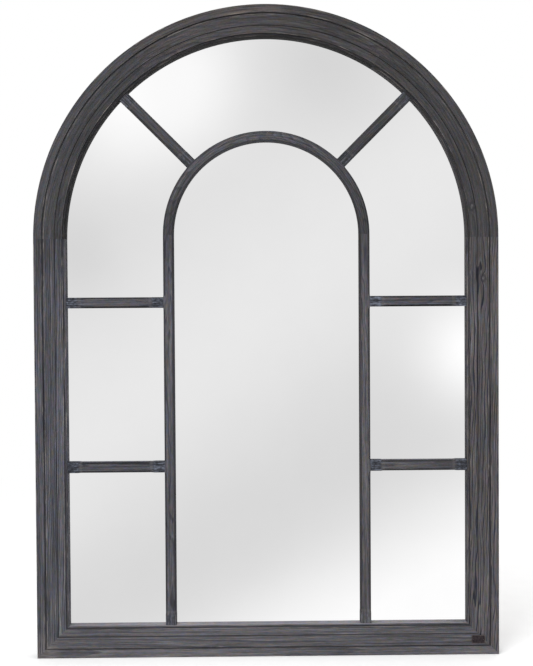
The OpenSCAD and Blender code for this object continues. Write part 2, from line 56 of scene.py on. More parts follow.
class Net:
    """A node tree built with short calls. Sockets and plain values can be fed alike."""

    def __init__(self, owner):
        owner.use_nodes = True
        self.tree = owner.node_tree
        self.tree.nodes.clear()

    def feed(self, socket, value):
        if isinstance(value, bpy.types.NodeSocket):
            self.tree.links.new(value, socket)
        elif socket.type == "RGBA" and len(value) == 3:
            socket.default_value = (*value, 1.0)
        else:
            socket.default_value = value

    def node(self, kind, *values, **named):
        """A node whose sockets are fed in order or by name."""
        made = self.tree.nodes.new(kind)
        for socket, value in zip(made.inputs, values):
            self.feed(socket, value)
        for name, value in named.items():
            self.feed(made.inputs[name], value)
        return made

    def math(self, operation, *values):
        made = self.tree.nodes.new("ShaderNodeMath")
        made.operation = operation
        for socket, value in zip(made.inputs, values):
            self.feed(socket, value)
        return made.outputs[0]

    def add(self, a, b):
        return self.math("ADD", a, b)

    def sub(self, a, b):
        return self.math("SUBTRACT", a, b)

    def mul(self, a, b):
        return self.math("MULTIPLY", a, b)

    def div(self, a, b):
        return self.math("DIVIDE", a, b)

    def most(self, a, b):
        return self.math("MAXIMUM", a, b)

    def vec(self, operation, a, b=None):
        made = self.tree.nodes.new("ShaderNodeVectorMath")
        made.operation = operation
        self.feed(made.inputs[0], a)
        if b is not None:
            self.feed(made.inputs[1], b)
        return made.outputs[1 if operation in ("DOT_PRODUCT", "LENGTH", "DISTANCE") else 0]

    def dot(self, a, b):
        return self.vec("DOT_PRODUCT", a, b)

    def pack(self, x, y, z):
        return self.node("ShaderNodeCombineXYZ", x, y, z).outputs[0]

    def grey(self, level):
        return self.pack(level, level, level)

    def parts(self, vector):
        return self.node("ShaderNodeSeparateXYZ", vector).outputs[:]

    def ramp(self, value, stops, curve="LINEAR"):
        """Grey levels along the value: (position, level)."""
        made = self.node("ShaderNodeValToRGB", value)
        levels = made.color_ramp
        levels.interpolation = curve
        while len(levels.elements) < len(stops):
            levels.elements.new(1.0)
        for element, (position, level) in zip(levels.elements, stops):
            element.position = position
            element.color = (level, level, level, 1.0)
        return made.outputs[0]

    def step(self, value, low, high, to_low=0.0, to_high=1.0):
        """Smooth step from low to high."""
        made = self.node("ShaderNodeMapRange", value, low, high, to_low, to_high)
        made.interpolation_type = "SMOOTHSTEP"
        return made.outputs[0]

    def band(self, value, middle, half, soft=0.7):
        """1 within half of the middle, with a soft edge."""
        away = self.math("ABSOLUTE", self.sub(value, middle))
        return self.step(away, half, half + soft, 1.0, 0.0)

    def sway(self, value, strength):
        """A push up or down by noise, which stays near 0.5."""
        return self.mul(self.sub(value, 0.5), strength)

    def mix(self, share, a, b, blend="MIX"):
        made = self.tree.nodes.new("ShaderNodeMix")
        made.data_type = "RGBA"
        made.blend_type = blend
        # A Mix node has a pair of sockets for each type, and 6 and 7 are the colours
        self.feed(made.inputs[0], share)
        self.feed(made.inputs[6], a)
        self.feed(made.inputs[7], b)
        return made.outputs[2]

    def shade(self, color, tone):
        return self.mix(1.0, color, tone, "MULTIPLY")

    def tones(self, value, low, high, first, second):
        """From the first colour to the second as the value goes from low to high."""
        return self.mix(self.step(value, low, high), first, second)

    def glaze(self, color, value, low, high, share, over):
        """Lays a share of one more colour over the places where the value is high."""
        return self.mix(self.mul(self.step(value, low, high), share), color, over)

    def noise(self, vector, detail, rough, bend=0.0):
        made = self.node("ShaderNodeTexNoise", Vector=vector, Scale=1.0, Detail=detail,
                         Roughness=rough, Distortion=bend)
        return made.outputs[0]

    def cloud(self, place, scale, detail, rough, bend=0.0):
        """Noise with scale features per mm, given as one number or as one for each axis."""
        if isinstance(scale, float):
            scale = (scale, scale, scale)
        return self.noise(self.vec("MULTIPLY", place, scale), detail, rough, bend)

    def place(self):
        """The row frame's coordinates, in mm."""
        made = self.node("ShaderNodeTexCoord")
        return self.vec("MULTIPLY", made.outputs["Object"], (1000.0, 1000.0, 1000.0))

    def normal(self):
        return self.node("ShaderNodeNewGeometry").outputs["True Normal"]

    def bump(self, height, distance, strength):
        made = self.node("ShaderNodeBump", Strength=strength, Distance=distance, Height=height)
        return made.outputs[0]

    def surface(self, color, rough, normal=None, metal=0.0, level=0.5):
        shader = self.node("ShaderNodeBsdfPrincipled", Roughness=rough, Metallic=metal)
        self.feed(shader.inputs["Base Color"], color)
        self.feed(shader.inputs["Specular IOR Level"], level)
        if normal is not None:
            self.feed(shader.inputs["Normal"], normal)
        self.node("ShaderNodeOutputMaterial", shader.outputs[0])


def new_material(name):
    material = bpy.data.materials.new(name)
    return material, Net(material)


def dress(node, material):
    slots = nodes[node].data.materials
    slots.clear()
    slots.append(material)


# Stained pine

# Colours of the stain, bluish to brownish, and of the wood that shows through it
COOL = (0.0963, 0.0974, 0.1183)
WARM = (0.1172, 0.1067, 0.1079)
GREY = (0.1067, 0.1056, 0.1102)
LATE = (0.0278, 0.0290, 0.0441)
PALE = (0.2204, 0.2158, 0.2204)
# Worn edges, the rubbed outer band, dirt and painted shade, and the square ends of the bars
WORN = (0.2668, 0.2378, 0.2204)
RUBBED = (0.1972, 0.1601, 0.1392)
DEEP = (0.0267, 0.0255, 0.0302)
BLOCK = (0.0490, 0.0545, 0.0700)

# The moulding, in mm from the frame's outer edge
# Groove, scratch line and groove: distance, half width and share of dirt and painted shade
GROOVES = ((19.3, 0.8, 1.0), (45.6, 0.4, 0.6), (64.0, 0.8, 1.0))
GROOVE_SOFT = 2.0
# Edges that the brush wears bright: distance and half width
CRESTS = ((1.3, 0.8), (16.9, 0.6), (22.0, 0.8), (61.6, 0.6), (67.2, 0.9))
# Where the tone changes, each time over a short way: inside the brim of painted shade along the
# rounded outer edge, at the end of the outer band, at the scratch line and at the bead
BRIM_END = (0.6, 2.2)
BRIM_TONE = 0.7
BAND_END = (19.0, 19.6)
INNER_START = (45.6, 46.4)
BEAD_START = (65.2, 65.8)
# Faces square to the front get painted shade: the outer side has the tone named last here, and
# between the two distances it gives way to the piece's own side_tone
OUTER_SIDE = (20.0, 60.0, 0.85)
# Depth at which the front's shapes end and the sides start
FRONT_END = (FRONT_Y + 3.4, FRONT_Y + 4.2)
# The outer band is rubbed up to here, and less away from the crown
RUBBED_END = (16.0, 18.5)
CROWN = (50.0, 130.0, 1.0, 0.12)
# Reach of a worn corner, and how much it is worn
NICK = (30.0, 66.0, 0.45)
WEAR = 0.5

# Painted light and shade by how faces look: share of their normal that points to the front, up or
# down
CHAMFER_TO_FRONT = (0.72, 0.95)
SIDE_TO_CHAMFER = (0.2, 0.6)
UPWARD = (0.76, 0.95)
DOWNWARD = (-0.65, -0.4)

# A bar near its square end, in mm from the stop: end of the block, spread and strength of its
# stain, and the notch's middle, half width and softness
BLOCK_END = (-1.0, 2.5)
STAIN_END = (4.0, 24.0, 0.5)
NOTCH = (6.5, 1.5, 2.5)
NOTCH_WEAR = 0.2

# Noise drawn out along the grain: width across it and length along it in mm, offset, detail and
# roughness, and the levels of a smooth step where there is one
LAYERS = {
    "wander": (38.0, 300.0, 0.0, 2.0, 0.5),
    "ripple": (13.0, 95.0, 5.0, 2.0, 0.5),
    "shown": (7.0, 120.0, 11.0, 2.0, 0.5, 0.34, 0.54, 0.3, 1.0),
    "bundle": (4.5, 210.0, 23.0, 3.0, 0.6, 0.3, 0.7),
    "fibre": (2.1, 150.0, 17.0, 3.0, 0.65, 0.4, 0.6),
    "fine": (0.8, 22.0, 29.0, 2.0, 0.6, 0.3, 0.7),
    "blotch": (12.0, 240.0, 31.0, 3.0, 0.6),
    "broad": (70.0, 330.0, 71.0, 1.0, 0.5),
    "scratch": (0.9, 55.0, 41.0, 1.0, 0.5, 0.62, 0.72),
    "bright": (1.7, 150.0, 47.0, 1.0, 0.5, 0.58, 0.68),
    "bright_zone": (14.0, 160.0, 53.0, 2.0, 0.5, 0.42, 0.6),
    "tint": (5.0, 60.0, 59.0, 3.0, 0.7),
    "redder": (4.0, 12.0, 83.0, 2.0, 0.6),
    "bluer": (4.0, 14.0, 89.0, 2.0, 0.6),
    "dirt_and_shade": (40.0, 120.0, 61.0, 2.0, 0.5, 0.35, 0.65, 0.5, 1.6),
    "patch": (18.0, 60.0, 67.0, 3.0, 0.6, 0.4, 0.6),
    "scuff": (6.0, 45.0, 37.0, 4.0, 0.65, 0.5, 0.68),
    "speck": (4.0, 9.0, 97.0, 3.0, 0.7),
}
# Late wood darkens slowly across a ring and ends sharply, with a crisp pale line behind it
LATE_STOPS = ((0.0, 0.0), (0.55, 0.0), (0.7, 0.9), (0.84, 1.0), (0.9, 0.0), (1.0, 0.0))
CRISP_STOPS = ((0.0, 1.0), (0.06, 0.8), (0.16, 0.0), (0.88, 0.0), (0.92, 1.0), (1.0, 1.0))
# Specks on the bars' square ends, from dark to pale
SPECK_STOPS = ((0.36, 0.25), (0.5, 0.85), (0.64, 3.4))
# How far the slow and the short waves move the rings, in mm
WANDER = 30.0
RIPPLE = 7.0
# How far the layers of brushing move the tone, and the lowest tone that they leave
BUNDLE_PUSH = 0.34
FINE_PUSH = 0.36
BLOTCH_PUSH = 0.3
BROAD_PUSH = 0.5
SCRATCH_PUSH = 0.25
DARKEST = 0.2
# Height of the brushed relief, in m
RELIEF = 0.0003
# Straight grain crosses a curved piece as a flat bow
BOW = -0.12
# Knots are longer along z than across it
KNOT_SHAPE = 0.6
KNOT_PUSH = 6.5


class Look:
    """How one piece of pine looks. Where a piece names nothing, the values here hold."""

    warmth = 0.5         # 0 is bluish stain, 1 brownish
    spacing = 4.0        # mm from ring to ring
    tilt = 0.02          # slope of the rings along the piece
    waver = 1.0          # how far the rings wander
    contrast = 1.0       # strength of the late wood
    rugged = 0.5         # strength of the fibres
    gritty = 0.5         # strength of the grit
    mottle = 1.0         # strength of the bluish and brownish streaks
    pale = 0.35          # strength of the bright fibres
    bend = None          # curved pieces: height of the curve's centre, and radius
    knots = ()           # x, z and size of each knot
    edge = None          # moulded pieces: gives the distance from the frame's outer edge
    band_tone = 1.0      # of the outer band
    inner_tone = 1.1     # from the scratch line inwards
    bead_tone = 1.0      # of the bead on the sight edge
    side_tone = 0.4      # painted shade on faces square to the front
    chamfer_tone = 0.66  # painted shade on chamfers
    dust_and_top_light = 1.6           # painted light from above on what faces up
    under = 1.0          # painted shade on what faces down
    rise = None          # two heights, and the tone of painted light and shade at each
    rut = 0.3            # strength of the dirt and painted shade in the grooves
    rubbed = 0.0         # how far the outer band is rubbed near the crown
    nick = None          # x of a lower corner that is worn pale
    ends = None          # bars: gives the distances from their joints
    blocked = 0.85       # strength of the stain on the bars' square ends

    def __init__(self, grain_deg, seed, tone, pith, **choices):
        self.grain_deg = grain_deg
        self.seed = seed
        self.tone = tone
        self.pith = pith
        for key, value in choices.items():
            setattr(self, key, value)


class Pine(Net):
    """Grey-stained, brushed pine whose grain runs along grain_deg, or along the look's bend."""

    def __init__(self, material, look):
        super().__init__(material)
        self.look = look
        self.point = self.place()
        self.x, self.deep, self.z = self.parts(self.point)
        _, self.facing, self.upward = self.parts(self.normal())
        self.along, self.across, self.drift = self.grain()
        self.rim = look.edge(self) if look.edge else None
        # Brushed fibres in three widths, from bundles down to single scratches
        self.bundle = self.layer("bundle")
        self.fibre = self.layer("fibre")
        self.fine = self.layer("fine")
        self.scratch = self.layer("scratch")
        self.blotch = self.layer("blotch")
        self.grit = self.cloud(self.point, 0.6, 2.0, 0.7)

    def grain(self):
        """Distances along and across the grain, and the drift of straight grain on a curve."""
        look = self.look
        turn = math.radians(look.grain_deg)
        if not look.bend:
            along = self.dot(self.point, (math.cos(turn), 0.0, math.sin(turn)))
            across = self.dot(self.point, (-math.sin(turn), 0.0, math.cos(turn)))
            return along, across, 0.0
        # Curved pieces are brushed along their curve
        middle_z, radius = look.bend
        over = self.sub(self.z, middle_z)
        along = self.mul(self.sub(self.math("ARCTAN2", self.x, over), turn), radius)
        across = self.vec("LENGTH", self.pack(self.x, 0.0, over))
        return along, across, self.mul(self.mul(along, along), BOW / radius)

    def layer(self, name):
        wide, long, offset, detail, rough, *levels = LAYERS[name]
        seed = self.look.seed
        grain = self.pack(self.div(self.across, wide), self.div(self.deep, wide),
                          self.div(self.along, long))
        grain = self.vec("ADD", grain, (seed * 3.7 + offset, seed * 1.3, seed * 7.9))
        noise = self.noise(grain, detail, rough)
        return self.step(noise, *levels) if levels else noise

    def knots(self):
        """The push of the knots on the rings, their dark cores and their chipped middles."""
        swirl = core = chip = 0.0
        for x, z, size in self.look.knots:
            oval = self.vec("MULTIPLY", self.point, (1.0, 0.0, KNOT_SHAPE))
            away = self.div(self.vec("DISTANCE", oval, (x, 0.0, z * KNOT_SHAPE)), size)
            near = self.math("EXPONENT", self.mul(self.mul(away, away), -1.0))
            swirl = self.add(swirl, self.mul(near, KNOT_PUSH))
            core = self.most(core, self.band(away, 0.55, 0.12, 0.3))
            chip = self.most(chip, self.step(away, 0.2, 0.5, 1.0, 0.0))
        return swirl, core, chip

    def rings(self, swirl):
        """Late wood, and the crisp line behind it."""
        look = self.look
        wander = self.add(self.sway(self.layer("wander"), WANDER * look.waver),
                          self.sway(self.layer("ripple"), RIPPLE * look.waver))
        side = self.sub(self.across, look.pith[0])
        depth = self.sub(self.deep, look.pith[1])
        radius = self.math("SQRT", self.add(self.mul(side, side), self.mul(depth, depth)))
        lean = self.add(self.mul(self.along, look.tilt), self.drift)
        radius = self.add(self.add(radius, lean), self.add(wander, swirl))
        ring = self.math("FRACT", self.div(radius, look.spacing))
        late = self.mul(self.ramp(ring, LATE_STOPS), self.layer("shown"))
        return self.mul(late, look.contrast), self.ramp(ring, CRISP_STOPS)

    def stain(self):
        tint = self.add(self.layer("tint"), self.look.warmth - 0.5)
        color = self.tones(tint, 0.3, 0.7, COOL, WARM)
        if self.look.mottle < 1.0:
            color = self.mix(self.look.mottle, GREY, color)
        return color

    def brushed(self):
        """Light and dark of the brushed fibres."""
        look = self.look
        coarse = self.add(self.sway(self.bundle, BUNDLE_PUSH * look.mottle),
                          self.sway(self.fibre, look.rugged))
        small = self.add(self.sway(self.fine, FINE_PUSH), self.sway(self.blotch, BLOTCH_PUSH))
        patches = self.add(self.sway(self.grit, look.gritty),
                           self.sway(self.layer("broad"), BROAD_PUSH))
        light = self.add(self.add(self.add(coarse, small), patches), 1.0)
        return self.most(self.sub(light, self.mul(self.scratch, SCRATCH_PUSH)), DARKEST)

    def aspect(self):
        """Painted light and shade, by the way a face looks and by its height."""
        look = self.look
        # Faces cut across the front are painted in shade: chamfers most of all
        turned = self.math("ABSOLUTE", self.facing)
        side = look.side_tone
        if look.edge:
            side = self.step(self.rim, *OUTER_SIDE, look.side_tone)
        turned_shade = self.add(self.step(turned, *CHAMFER_TO_FRONT, 0.0, 1.0 - look.chamfer_tone),
                          self.step(turned, *SIDE_TO_CHAMFER, side, look.chamfer_tone))
        # and painted light lightens what faces up, while painted shade darkens what faces down
        top_light_and_under_shade = self.step(self.upward, *UPWARD, 1.0, look.dust_and_top_light)
        if look.under < 1.0:
            top_light_and_under_shade = self.mul(top_light_and_under_shade, self.step(self.upward, *DOWNWARD, look.under, 1.0))
        tone = self.mul(turned_shade, self.mul(top_light_and_under_shade, look.tone))
        return self.mul(tone, self.step(self.z, *look.rise)) if look.rise else tone

    def moulding(self, color):
        """Tones with painted shade at the outer edge, dirt and painted shade in the grooves, and
        wear of the frame's moulding, on its front only.
        """
        look = self.look
        front = self.step(self.deep, *FRONT_END, 1.0, 0.0)
        inner = self.step(self.rim, *INNER_START, 1.0, look.inner_tone)
        outer = self.step(self.rim, *BAND_END, look.band_tone, 1.0)
        bead = self.step(self.rim, *BEAD_START, 1.0, look.bead_tone)
        # The brim is painted shade along the rounded outer edge
        brim = self.step(self.rim, *BRIM_END, BRIM_TONE, 1.0)
        tone = self.mul(self.mul(inner, outer), self.mul(bead, brim))
        color = self.mix(front, color, self.shade(color, self.grey(tone)))

        # Dirt and painted shade darken the grooves
        dirt_and_shade = 0.0
        for middle, half, share in GROOVES:
            groove = self.band(self.rim, middle, half, GROOVE_SOFT)
            dirt_and_shade = self.most(dirt_and_shade, self.mul(groove, share * look.rut))
        dirt_and_shade = self.mul(dirt_and_shade, self.layer("dirt_and_shade"))
        color = self.mix(self.mul(dirt_and_shade, front), color, DEEP)

        if look.rubbed:
            crown = self.step(self.math("ABSOLUTE", self.x), *CROWN)
            patch = self.mul(self.layer("patch"), crown)
            patch = self.mul(patch, self.step(self.rim, *RUBBED_END, look.rubbed, 0.0))
            patch = self.mul(patch, self.add(self.mul(self.fibre, 0.7), 0.3))
            color = self.mix(self.mul(patch, front), color, RUBBED)

        crest = 0.0
        for middle, half in CRESTS:
            crest = self.most(crest, self.band(self.rim, middle, half))
        raised = self.mul(self.mul(front, bead), WEAR)
        worn = self.mul(self.mul(crest, self.layer("scuff")), raised)
        color = self.mix(worn, color, WORN)

        if look.nick:
            flat = self.vec("MULTIPLY", self.point, (1.0, 0.0, 1.0))
            away = self.vec("DISTANCE", flat, (look.nick, 0.0, 0.0))
            handled = self.mul(self.step(away, *NICK, 0.0), self.mul(front, self.fine))
            color = self.mix(handled, color, WORN)
        return color

    def bar_ends(self, color):
        """Dark square ends, stain that spreads from them, and a pale notch in the chamfer."""
        block = stain = notch = 0.0
        for distance in self.look.ends(self):
            beyond = self.sub(distance, BAR_STOP)
            block = self.most(block, self.step(beyond, *BLOCK_END, 1.0, 0.0))
            stain = self.most(stain, self.step(beyond, *STAIN_END, 0.0))
            notch = self.most(notch, self.band(beyond, *NOTCH))
        block = self.most(block, self.mul(stain, self.step(self.blotch, 0.4, 0.6, 0.3, 1.2)))
        speck = self.add(self.mul(self.layer("speck"), 0.8), self.mul(self.fibre, 0.16))
        dark = self.shade(BLOCK, self.ramp(speck, SPECK_STOPS))
        color = self.mix(self.mul(block, self.look.blocked), color, dark)
        return self.mix(self.mul(self.mul(notch, self.fine), NOTCH_WEAR), color, WORN)

    def build(self):
        look = self.look
        swirl, core, chip = self.knots()
        late, crisp = self.rings(swirl)
        bright = self.most(self.layer("bright"), self.mul(crisp, 0.7))
        bright = self.mul(bright, self.layer("bright_zone"))

        color = self.mix(self.mul(bright, look.pale), self.stain(), PALE)
        color = self.mix(self.mul(late, 0.9), color, LATE)
        # Brushed tones times the painted light and shade of aspect
        light = self.mul(self.brushed(), self.aspect())
        # The stain takes a redder or a bluer cast from fibre to fibre
        redder = self.add(self.mul(self.layer("redder"), 0.9), 0.55)
        bluer = self.add(self.mul(self.layer("bluer"), 1.1), 0.45)
        cast = self.pack(self.mul(light, redder), light, self.mul(light, bluer))
        color = self.shade(color, cast)
        if look.knots:
            color = self.mix(self.mul(core, 0.6), color, DEEP)
            color = self.mix(self.mul(chip, self.step(self.grit, 0.4, 0.6, 0.0, 0.4)), color, PALE)
        if look.edge:
            color = self.moulding(color)
        if look.ends:
            color = self.bar_ends(color)

        rough = self.add(self.mul(self.fibre, 0.14), 0.62)
        brush = self.add(self.mul(self.fibre, 0.6), self.mul(self.fine, 0.4))
        height = self.sub(self.add(self.mul(late, 0.8), brush), self.scratch)
        self.surface(color, rough, self.bump(height, RELIEF, 0.8), level=0.2)


# Distance from the frame's outer edge, for each kind of moulded piece

def edge_of_left(wood):
    return wood.add(wood.x, HALF_W)


def edge_of_right(wood):
    return wood.sub(HALF_W, wood.x)


def edge_of_rail(wood):
    return wood.z


def edge_of_head(wood):
    over = wood.sub(wood.z, SPRING_Z)
    return wood.sub(HALF_W, wood.vec("LENGTH", wood.pack(wood.x, 0.0, over)))


# Distances from a bar's joints, measured along the bar

def mullion_foot(wood):
    return (wood.sub(wood.z, MOULDING),)


def cross_ends(sign):
    def distances(wood):
        reach = wood.mul(wood.x, sign)
        return wood.sub(reach, MULLION_OUT), wood.sub(SIGHT, reach)
    return distances


def diagonal_ends(sign):
    def distances(wood):
        reach = wood.sub(wood.dot(wood.point, (sign * SLOPE, 0.0, SLOPE)), SPRING_Z * SLOPE)
        return wood.sub(reach, DIAGONAL_START), wood.sub(SIGHT, reach)
    return distances


UPRIGHT = 90.0
LEVEL = 0.0
LEFT = -1.0
RIGHT = 1.0

# Curves of the grain: height of the centre, and the radius at which it keeps its length
HEAD = (SPRING_Z, 465.0)
INNER = (INNER_Z, MULLION_OUT - BAR_W / 2.0)
# Heights between which upright, inner arch and diagonal pieces change their tone, as painted light
# and shade
UPPER_SIDES = (740.0, 905.0)
INNER_ARCH = (930.0, 1110.0)
DIAGONALS = (1060.0, 1200.0)

# What the pieces of one kind share
SEGMENT = dict(edge=edge_of_head, bend=HEAD, spacing=6.0, rut=0.0)
MULLION = dict(grain_deg=UPRIGHT, ends=mullion_foot, contrast=0.7, chamfer_tone=0.48,
               blocked=0.3, rise=(*UPPER_SIDES, 1.0, 0.8))
INNER_HALF = dict(bend=INNER, pith=(180.0, 60.0), contrast=0.5, mottle=0.6)
CROSS_BAR = dict(grain_deg=LEVEL, contrast=0.6)
DIAGONAL = dict(pith=(640.0, 60.0), warmth=0.45, contrast=0.4, mottle=0.6, blocked=0.35,
                rise=(*DIAGONALS, 0.9, 1.05))

WOOD = {
    "left_stile": Look(
        grain_deg=UPRIGHT, seed=1, tone=0.75, warmth=0.4, pith=(-440.0, 42.0), spacing=4.2,
        edge=edge_of_left, inner_tone=1.16, band_tone=0.92, side_tone=0.9, pale=0.9, waver=0.5,
        nick=-HALF_W, rise=(*UPPER_SIDES, 1.03, 0.74)),
    "right_stile": Look(
        grain_deg=UPRIGHT, seed=2, tone=0.72, warmth=0.62, pith=(448.0, 40.0), spacing=6.4,
        tilt=-0.03, edge=edge_of_right, contrast=1.4, inner_tone=1.08, band_tone=1.12,
        side_tone=0.8, waver=1.2, pale=0.55, knots=((466.6, 815.3, 7.0),),
        rise=(*UPPER_SIDES, 1.03, 0.76)),
    "bottom_rail": Look(
        grain_deg=LEVEL, seed=3, tone=0.9, pith=(8.0, 45.0), spacing=4.2, tilt=0.006,
        edge=edge_of_rail, band_tone=1.2, contrast=0.5, bead_tone=1.15, rugged=0.4,
        side_tone=1.0, dust_and_top_light=2.3, mottle=0.8, waver=0.3, pale=0.5, nick=-HALF_W),
    "arch_left": Look(
        **SEGMENT, grain_deg=-62.8, seed=4, tone=0.46, warmth=0.45, pith=(400.0, 60.0),
        contrast=0.3, mottle=0.5, rugged=0.36, inner_tone=0.86, band_tone=1.16, bead_tone=0.42,
        side_tone=0.1, gritty=1.25),
    "arch_top": Look(
        **SEGMENT, grain_deg=-1.75, seed=5, tone=0.48, warmth=0.62, pith=(400.0, 60.0),
        tilt=0.015, contrast=0.5, mottle=0.8, rugged=0.42, inner_tone=1.02, band_tone=1.04,
        bead_tone=0.45, side_tone=0.1, rubbed=0.24, gritty=1.2),
    "arch_right": Look(
        **SEGMENT, grain_deg=61.05, seed=6, tone=0.45, warmth=0.58, pith=(400.0, 50.0),
        tilt=0.03, contrast=0.35, mottle=0.6, rugged=0.32, inner_tone=1.05, band_tone=1.12,
        bead_tone=0.66, side_tone=1.0, gritty=0.8, knots=((442.5, 969.6, 8.0),)),
    "left_mullion": Look(**MULLION, seed=7, tone=0.79, warmth=0.42, pith=(211.0, 60.0)),
    "right_mullion": Look(**MULLION, seed=8, tone=0.8, warmth=0.54, pith=(-190.0, 60.0)),
    "inner_arch_left": Look(
        **INNER_HALF, grain_deg=-45.0, seed=9, tone=0.66, warmth=0.42,
        rise=(*INNER_ARCH, 0.76, 1.1)),
    "inner_arch_right": Look(
        **INNER_HALF, grain_deg=45.0, seed=10, tone=0.62, warmth=0.45,
        rise=(*INNER_ARCH, 0.72, 1.16)),
    "upper_left_bar": Look(
        **CROSS_BAR, seed=11, tone=0.74, warmth=0.45, pith=(760.0, 60.0), ends=cross_ends(LEFT),
        chamfer_tone=0.5, under=0.3),
    "upper_right_bar": Look(
        **CROSS_BAR, seed=12, tone=0.65, warmth=0.45, pith=(775.0, 60.0), ends=cross_ends(RIGHT),
        chamfer_tone=0.5, under=0.22),
    "lower_left_bar": Look(
        **CROSS_BAR, seed=13, tone=0.63, warmth=0.36, pith=(400.0, 60.0), ends=cross_ends(LEFT),
        chamfer_tone=0.42, dust_and_top_light=4.6, under=0.8),
    "lower_right_bar": Look(
        **CROSS_BAR, seed=14, tone=0.74, pith=(420.0, 60.0), ends=cross_ends(RIGHT),
        chamfer_tone=0.42, dust_and_top_light=4.4, under=0.95),
    "left_diagonal_bar": Look(
        **DIAGONAL, grain_deg=135.0, seed=15, tone=0.5, ends=diagonal_ends(LEFT)),
    "right_diagonal_bar": Look(
        **DIAGONAL, grain_deg=45.0, seed=16, tone=0.48, ends=diagonal_ends(RIGHT)),
}
for node_name, look in WOOD.items():
    pine = bpy.data.materials.new("pine_" + node_name)
    Pine(pine, look).build()
    dress(node_name, pine)


# Mirror, sheets and fittings

# Two colours that clouds of noise run between, and colours laid over them
SILVER = ((0.934, 0.932, 0.934), (0.946, 0.944, 0.945))
BACK_PAINT = ((0.16, 0.18, 0.2), (0.2, 0.22, 0.24))
CUT_GLASS = (0.12, 0.3, 0.24)
CARD = ((0.34, 0.27, 0.19), (0.46, 0.37, 0.26))
CARD_CLOUD = (0.4, 0.38, 0.34)
BOARD = ((0.125, 0.077, 0.045), (0.225, 0.15, 0.09))
BOARD_THREAD = (0.3, 0.21, 0.13)
BOARD_CLOUD = (0.12, 0.08, 0.05)
BOARD_RUB = (0.36, 0.28, 0.2)
ZINC = ((0.52, 0.53, 0.55), (0.66, 0.65, 0.62))
ZINC_LINE = (0.4, 0.4, 0.41)
RUBBER = ((0.012, 0.012, 0.013), (0.034, 0.034, 0.036))
BRONZE = ((0.026, 0.021, 0.025), (0.05, 0.04, 0.043))
BRONZE_LINE = (0.075, 0.062, 0.062)
BRONZE_BRIGHT = (0.15, 0.125, 0.12)
BEECH = ((0.46, 0.29, 0.15), (0.6, 0.42, 0.24))
BEECH_FLECK = (0.3, 0.18, 0.09)

# The plate's rim and the pin heads stand out beyond these depths
PLATE_RAISED = (FRONT_Y - 1.35, FRONT_Y - 1.5)


def mirror_material():
    """Silvered front, green cut edge, grey painted back."""
    material, net = new_material("mirror_silver")
    place = net.place()
    facing = net.parts(net.normal())[Y]
    front = net.step(facing, -0.99, -0.9, 1.0, 0.0)
    back = net.step(facing, 0.9, 0.99)
    haze = net.cloud(place, 0.008, 4.0, 0.55)
    dust_and_top_light = net.cloud(place, 0.25, 3.0, 0.7)
    silver = net.tones(haze, 0.3, 0.7, *SILVER)
    paint = net.tones(dust_and_top_light, 0.3, 0.7, *BACK_PAINT)
    color = net.mix(front, net.mix(back, CUT_GLASS, paint), silver)
    clear = net.add(net.mul(net.step(dust_and_top_light, 0.62, 0.8), 0.02), net.mul(haze, 0.01))
    rough = net.mix(front, (0.35, 0.35, 0.35), net.grey(clear))
    net.surface(color, rough, metal=front)
    return material


def card_material():
    """Grey-brown card: pulp under a faint cloud."""
    material, net = new_material("grey_card")
    place = net.place()
    pulp = net.cloud(place, 0.9, 4.0, 0.7)
    cloud = net.cloud(place, 0.02, 3.0, 0.5)
    color = net.mix(net.mul(cloud, 0.3), net.tones(pulp, 0.35, 0.7, *CARD), CARD_CLOUD)
    net.surface(color, net.add(net.mul(pulp, 0.1), 0.8), net.bump(pulp, 0.0001, 0.5), level=0.2)
    return material


def board_material():
    """Hard fibreboard: pressed fibres, soft clouds and rubbed marks."""
    material, net = new_material("fibreboard")
    place = net.place()
    flake = net.cloud(place, (0.55, 0.9, 0.9), 5.0, 0.75, 1.2)
    thread = net.cloud(place, (0.12, 0.4, 1.6), 4.0, 0.7, 2.0)
    cloud = net.cloud(place, 0.006, 4.0, 0.55)
    rub = net.cloud(place, (0.02, 0.1, 0.004), 4.0, 0.7)
    color = net.tones(flake, 0.35, 0.7, *BOARD)
    color = net.glaze(color, thread, 0.5, 0.72, 0.5, BOARD_THREAD)
    color = net.glaze(color, cloud, 0.35, 0.65, 0.35, BOARD_CLOUD)
    color = net.glaze(color, rub, 0.58, 0.75, 0.18, BOARD_RUB)
    height = net.add(net.mul(flake, 0.6), net.mul(thread, 0.6))
    rough = net.add(net.mul(cloud, 0.2), 0.5)
    net.surface(color, rough, net.bump(height, 0.00015, 0.6), level=0.35)
    return material


def zinc_material(name, seed):
    """Zinc plate: a fine brushed haze, crystal patches and a faint yellow passivation."""
    material, net = new_material(name)
    place = net.vec("ADD", net.place(), (seed * 13.0, 0.0, seed * 7.0))
    haze = net.cloud(place, 0.35, 4.0, 0.6)
    line = net.cloud(place, (5.0, 5.0, 0.5), 3.0, 0.6)
    color = net.tones(haze, 0.35, 0.65, *ZINC)
    color = net.glaze(color, line, 0.55, 0.75, 0.3, ZINC_LINE)
    rough = net.add(net.mul(haze, 0.2), net.add(net.mul(line, 0.12), 0.16))
    net.surface(color, rough, net.bump(line, 0.00004, 0.6), metal=1.0)
    return material


def rubber_material():
    """Black rubber with a dull bloom."""
    material, net = new_material("rubber_pad")
    place = net.place()
    grit = net.cloud(place, 1.5, 4.0, 0.7)
    bloom = net.cloud(place, 0.12, 3.0, 0.5)
    color = net.tones(bloom, 0.4, 0.7, *RUBBER)
    net.surface(color, net.add(net.mul(grit, 0.2), 0.55), net.bump(grit, 0.0001, 0.6), level=0.4)
    return material


